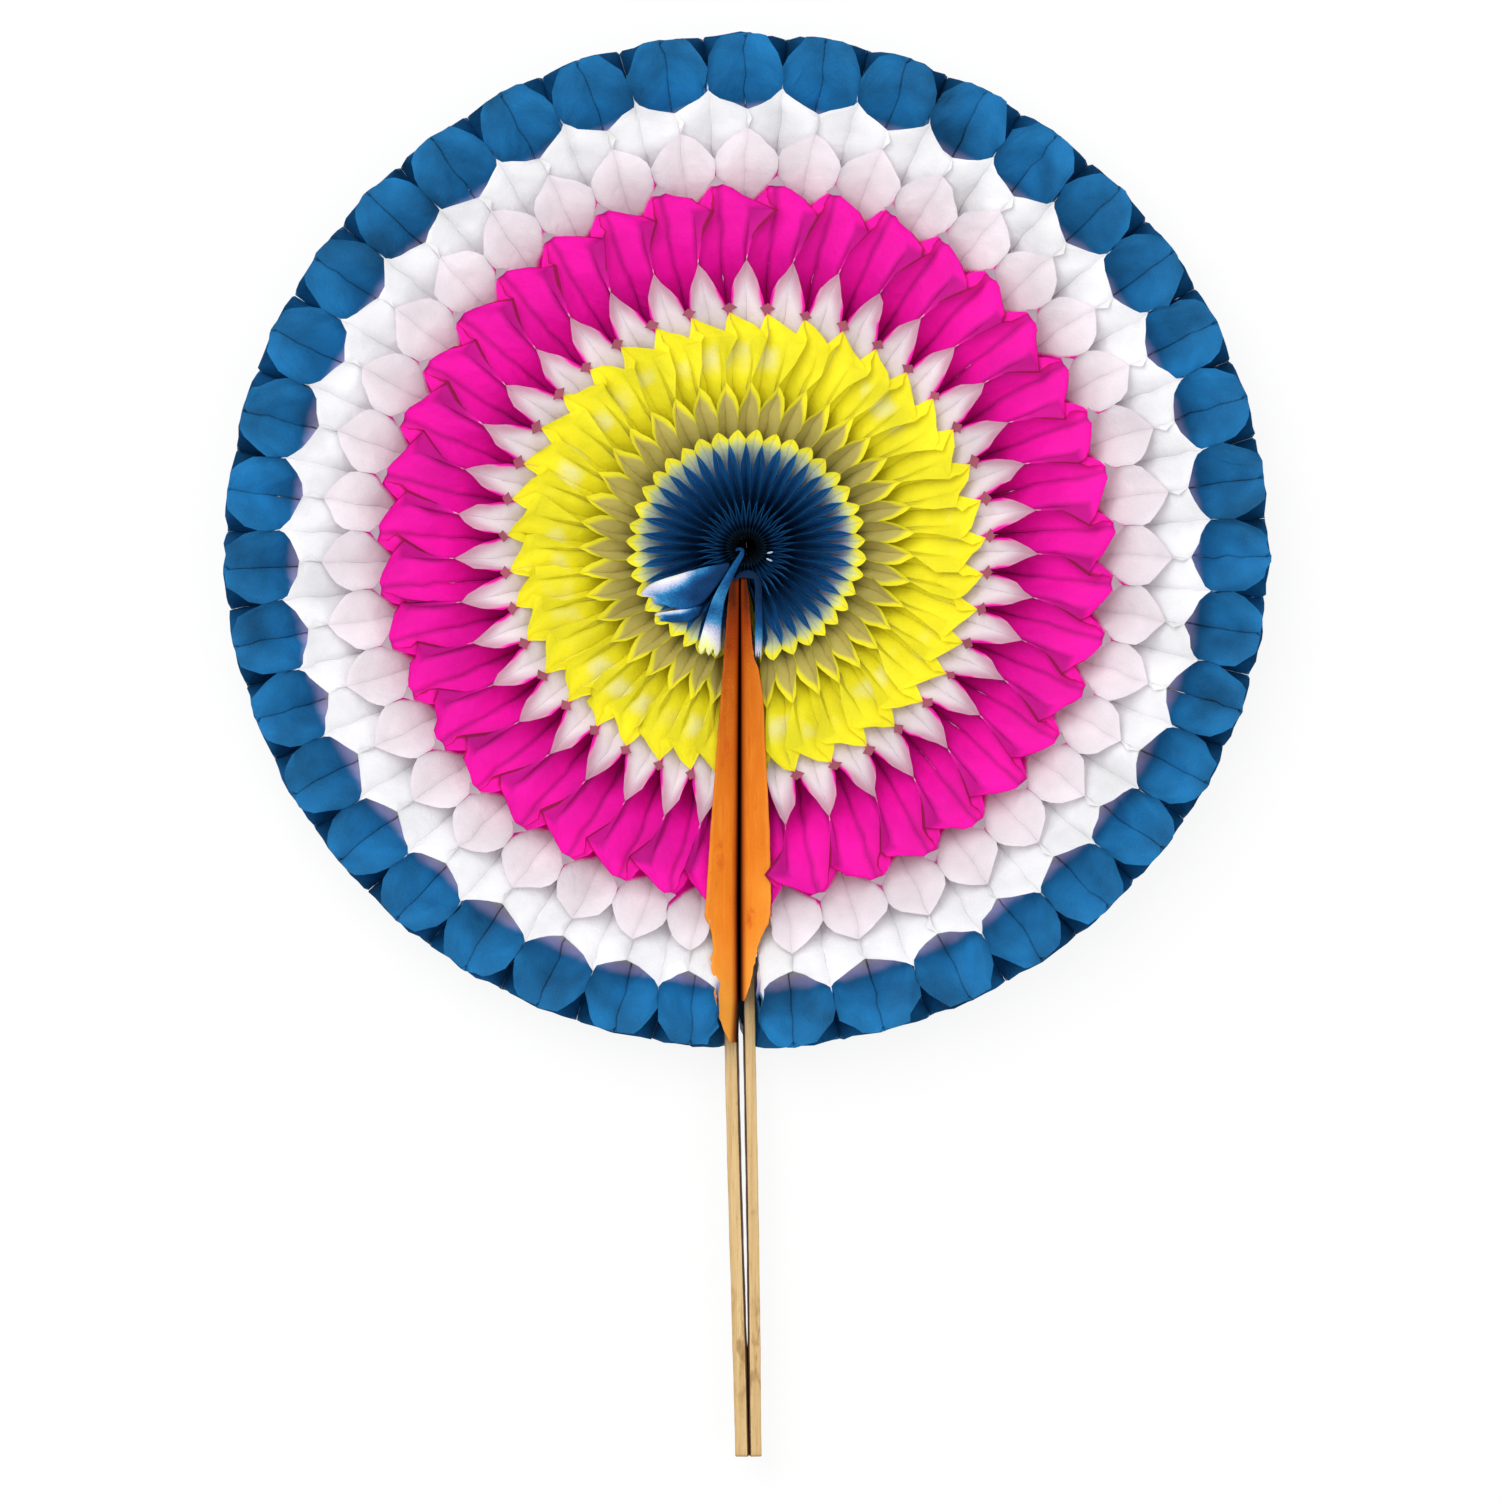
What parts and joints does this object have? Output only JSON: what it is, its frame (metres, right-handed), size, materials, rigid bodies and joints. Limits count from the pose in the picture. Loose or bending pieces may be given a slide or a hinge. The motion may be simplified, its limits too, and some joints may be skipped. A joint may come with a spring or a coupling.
{
  "type": "honeycomb paper fan",
  "caption": "Round honeycomb tissue-paper fan, opened into a full disc of folded petals round a hub, with cover papers in the seam and a handle of slim bamboo sticks.",
  "frame": {"origin": "on the disc's axis, in the plane of the back edges on which the fan lies", "axes": "+Z along the disc's axis towards the viewer, +Y from the handle towards the top of the disc, +X to the right"},
  "size_m": [0.27, 0.3733, 0.0306],
  "materials": {
    "tissue": "matte",
    "cover_paper": "matte",
    "bamboo": "satin",
    "thread": "matte"
  },
  "bodies": {
    "root": {"tissue_honeycomb": "tissue", "left_cover_paper": "cover_paper", "right_cover_paper": "cover_paper", "left_stick": "bamboo", "right_stick": "bamboo", "binding_thread": "thread"}
  },
  "joints": []
}
